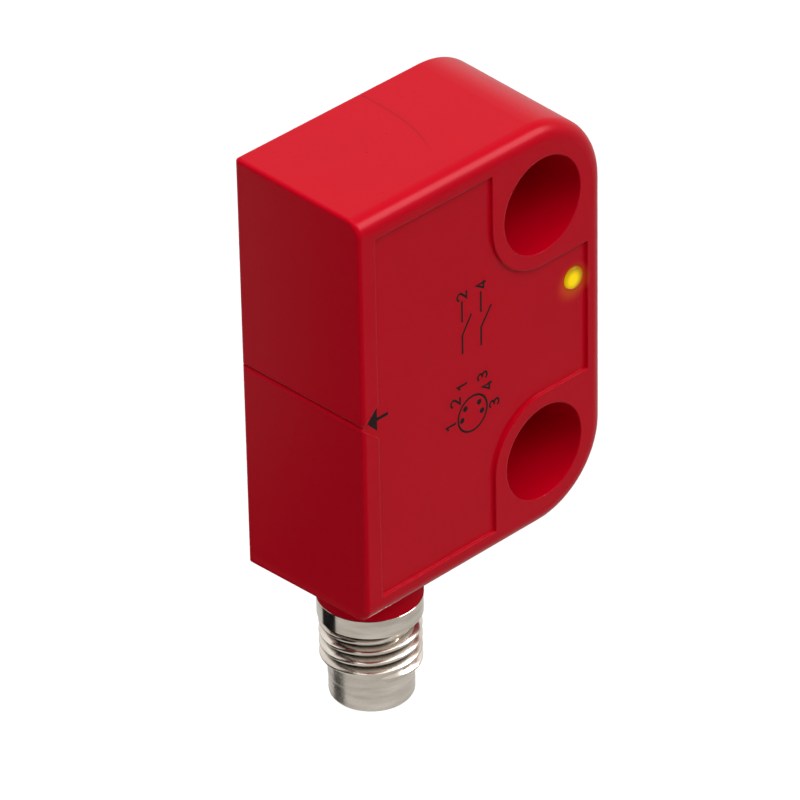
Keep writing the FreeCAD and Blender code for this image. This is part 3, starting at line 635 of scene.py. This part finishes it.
bounce = add_node(tree, "ShaderNodeMix", {
    "Factor": seen.outputs["Value"], "A": mirrored.outputs["Result"], "B": pale.outputs["Result"]},
    data_type="RGBA")
paint = add_node(tree, "ShaderNodeBsdfDiffuse", {"Color": bounce.outputs["Result"]})
clear = add_node(tree, "ShaderNodeBsdfTransparent", {})
side = add_node(tree, "ShaderNodeNewGeometry", {})
sheet = add_node(tree, "ShaderNodeMixShader", {
    0: side.outputs["Backfacing"], 1: paint.outputs["BSDF"], 2: clear.outputs["BSDF"]})
add_node(tree, "ShaderNodeOutputMaterial", {"Surface": sheet.outputs["Shader"]})


def stage_sheet(name, wide, tall, place, facing, material):
    """Flat stage sheet, its face turned from +Z to the given direction."""
    bm = bmesh.new()
    bmesh.ops.create_grid(bm, x_segments=4, y_segments=4, size=0.5)
    bmesh.ops.scale(bm, vec=(wide, tall, 1), verts=bm.verts)
    turn_to = Vector(facing).to_track_quat("Z", "Y").to_matrix().to_4x4()
    bmesh.ops.transform(bm, matrix=Matrix.Translation(place) @ turn_to, verts=bm.verts)
    mesh = bpy.data.meshes.new(name)
    bm.to_mesh(mesh)
    bm.free()
    mesh.materials.append(material)
    sheet = bpy.data.objects.new(name, mesh)
    bpy.context.scene.collection.objects.link(sheet)
    return sheet


stage_sheet("studio_floor", FLOOR_SIZE, FLOOR_SIZE, (0, 0, FLOOR_LEVEL), (0, 0, 1), floor_paint)

# Black velvet cards: they only darken what the plug and the left end reflect. Each has its width,
# height, middle and the bearing it faces.
black_card, tree, where = new_finish("black_velvet_card")
nap = add_node(tree, "ShaderNodeTexNoise", {"Vector": where, "Scale": 1 / CARD_NAP, "Detail": 1.0})
tint = add_node(tree, "ShaderNodeMix", {
    "Factor": nap.outputs["Fac"], "A": (0.01, 0.01, 0.01, 1.0), "B": (0.02, 0.02, 0.02, 1.0)},
    data_type="RGBA")
cloth = add_node(tree, "ShaderNodeBsdfDiffuse", {"Color": tint.outputs["Result"]})
add_node(tree, "ShaderNodeOutputMaterial", {"Surface": cloth.outputs["BSDF"]})
CARDS = [("plug_card", 0.080, 0.056, (-0.0699, 0.0754, -0.1), -145),
         ("end_card", 0.060, 0.105, (-0.0614, -0.0029, 0.0095), -136)]
for name, wide, tall, place, bearing in CARDS:
    facing = (-math.sin(math.radians(bearing)), math.cos(math.radians(bearing)), 0)
    card = stage_sheet(name, wide, tall, place, facing, black_card)
    card.visible_camera = False
    card.visible_diffuse = False
    card.visible_shadow = False
    card.visible_transmission = False

# Surround: white where it is seen, reflected or seen through, dimmer as light on matt colour.
world = bpy.data.worlds.new("studio_surround")
world.use_nodes = True
tree = world.node_tree
tree.nodes.clear()
path = add_node(tree, "ShaderNodeLightPath", {})
seen = add_node(tree, "ShaderNodeMath", {
    0: path.outputs["Is Camera Ray"], 1: path.outputs["Is Glossy Ray"]}, operation="MAXIMUM")
seen = add_node(tree, "ShaderNodeMath", {
    0: seen.outputs["Value"], 1: path.outputs["Is Transmission Ray"]}, operation="MAXIMUM")
level = add_node(tree, "ShaderNodeMapRange", {
    "Value": seen.outputs["Value"], "To Min": 0.4, "To Max": 1.0})
sky = add_node(tree, "ShaderNodeBackground", {
    "Color": (1.0, 1.0, 1.0, 1.0), "Strength": level.outputs["Result"]})
add_node(tree, "ShaderNodeOutputWorld", {"Surface": sky.outputs["Background"]})
bpy.context.scene.world = world

# Lights: the direction each comes from, its strength, its spread in degrees, and whether it shows
# in reflections and lights matt colour.
LIGHTS = [("key", (-0.1, -0.6, 0.79), 0.4, 30, False, True), ("overhead", (0, 0, 1), 0.55, 60, True, True),
          ("sheen", (0.58, -0.55, 0.6), 1.2, 32, True, False)]
for name, direction, strength, spread, in_gloss, in_diffuse in LIGHTS:
    lamp = bpy.data.lights.new(name + "_light", "SUN")
    lamp.energy = math.pi * strength
    lamp.angle = math.radians(spread)
    holder = bpy.data.objects.new(name + "_light", lamp)
    holder.rotation_mode = "QUATERNION"
    holder.rotation_quaternion = Vector(direction).to_track_quat("Z", "Y")
    holder.visible_glossy = in_gloss
    holder.visible_diffuse = in_diffuse
    bpy.context.scene.collection.objects.link(holder)

# Camera at the photograph's place: its turn about the part, height, roll, distance and framing
# come from fitting the housing's corners and holes. Lengths are in millimetres.

AZIMUTH = math.radians(-44.152)
ELEVATION = math.radians(33.286)
ROLL = math.radians(-1.15)
DISTANCE = 511.044
AIM_RIGHT = 1.951
AIM_UP = 5.38
BODY_CENTRE = Vector((-6.0, -6.5, 0.0))
FOCAL_PIXELS = 6784.705
FRAME_PIXELS = 800
SENSOR_WIDTH = 36.0

back = Vector((math.sin(AZIMUTH) * math.cos(ELEVATION), -math.cos(AZIMUTH) * math.cos(ELEVATION),
               math.sin(ELEVATION)))
level_right = Vector((math.cos(AZIMUTH), math.sin(AZIMUTH), 0))
level_up = back.cross(level_right)
right = level_right * math.cos(ROLL) + level_up * math.sin(ROLL)
up = level_up * math.cos(ROLL) - level_right * math.sin(ROLL)
place = (BODY_CENTRE - right * AIM_RIGHT - up * AIM_UP + back * DISTANCE) / 1000
lens = bpy.data.cameras.new("studio_camera")
lens.sensor_width = SENSOR_WIDTH
lens.lens = FOCAL_PIXELS * SENSOR_WIDTH / FRAME_PIXELS
lens.clip_start = 0.01
lens.clip_end = 20.0
camera = bpy.data.objects.new("studio_camera", lens)
axes = Matrix((right, up, back)).transposed().to_4x4()
camera.matrix_world = Matrix.Translation(place) @ axes
bpy.context.scene.collection.objects.link(camera)
bpy.context.scene.camera = camera
bpy.context.scene.view_settings.view_transform = "Standard"
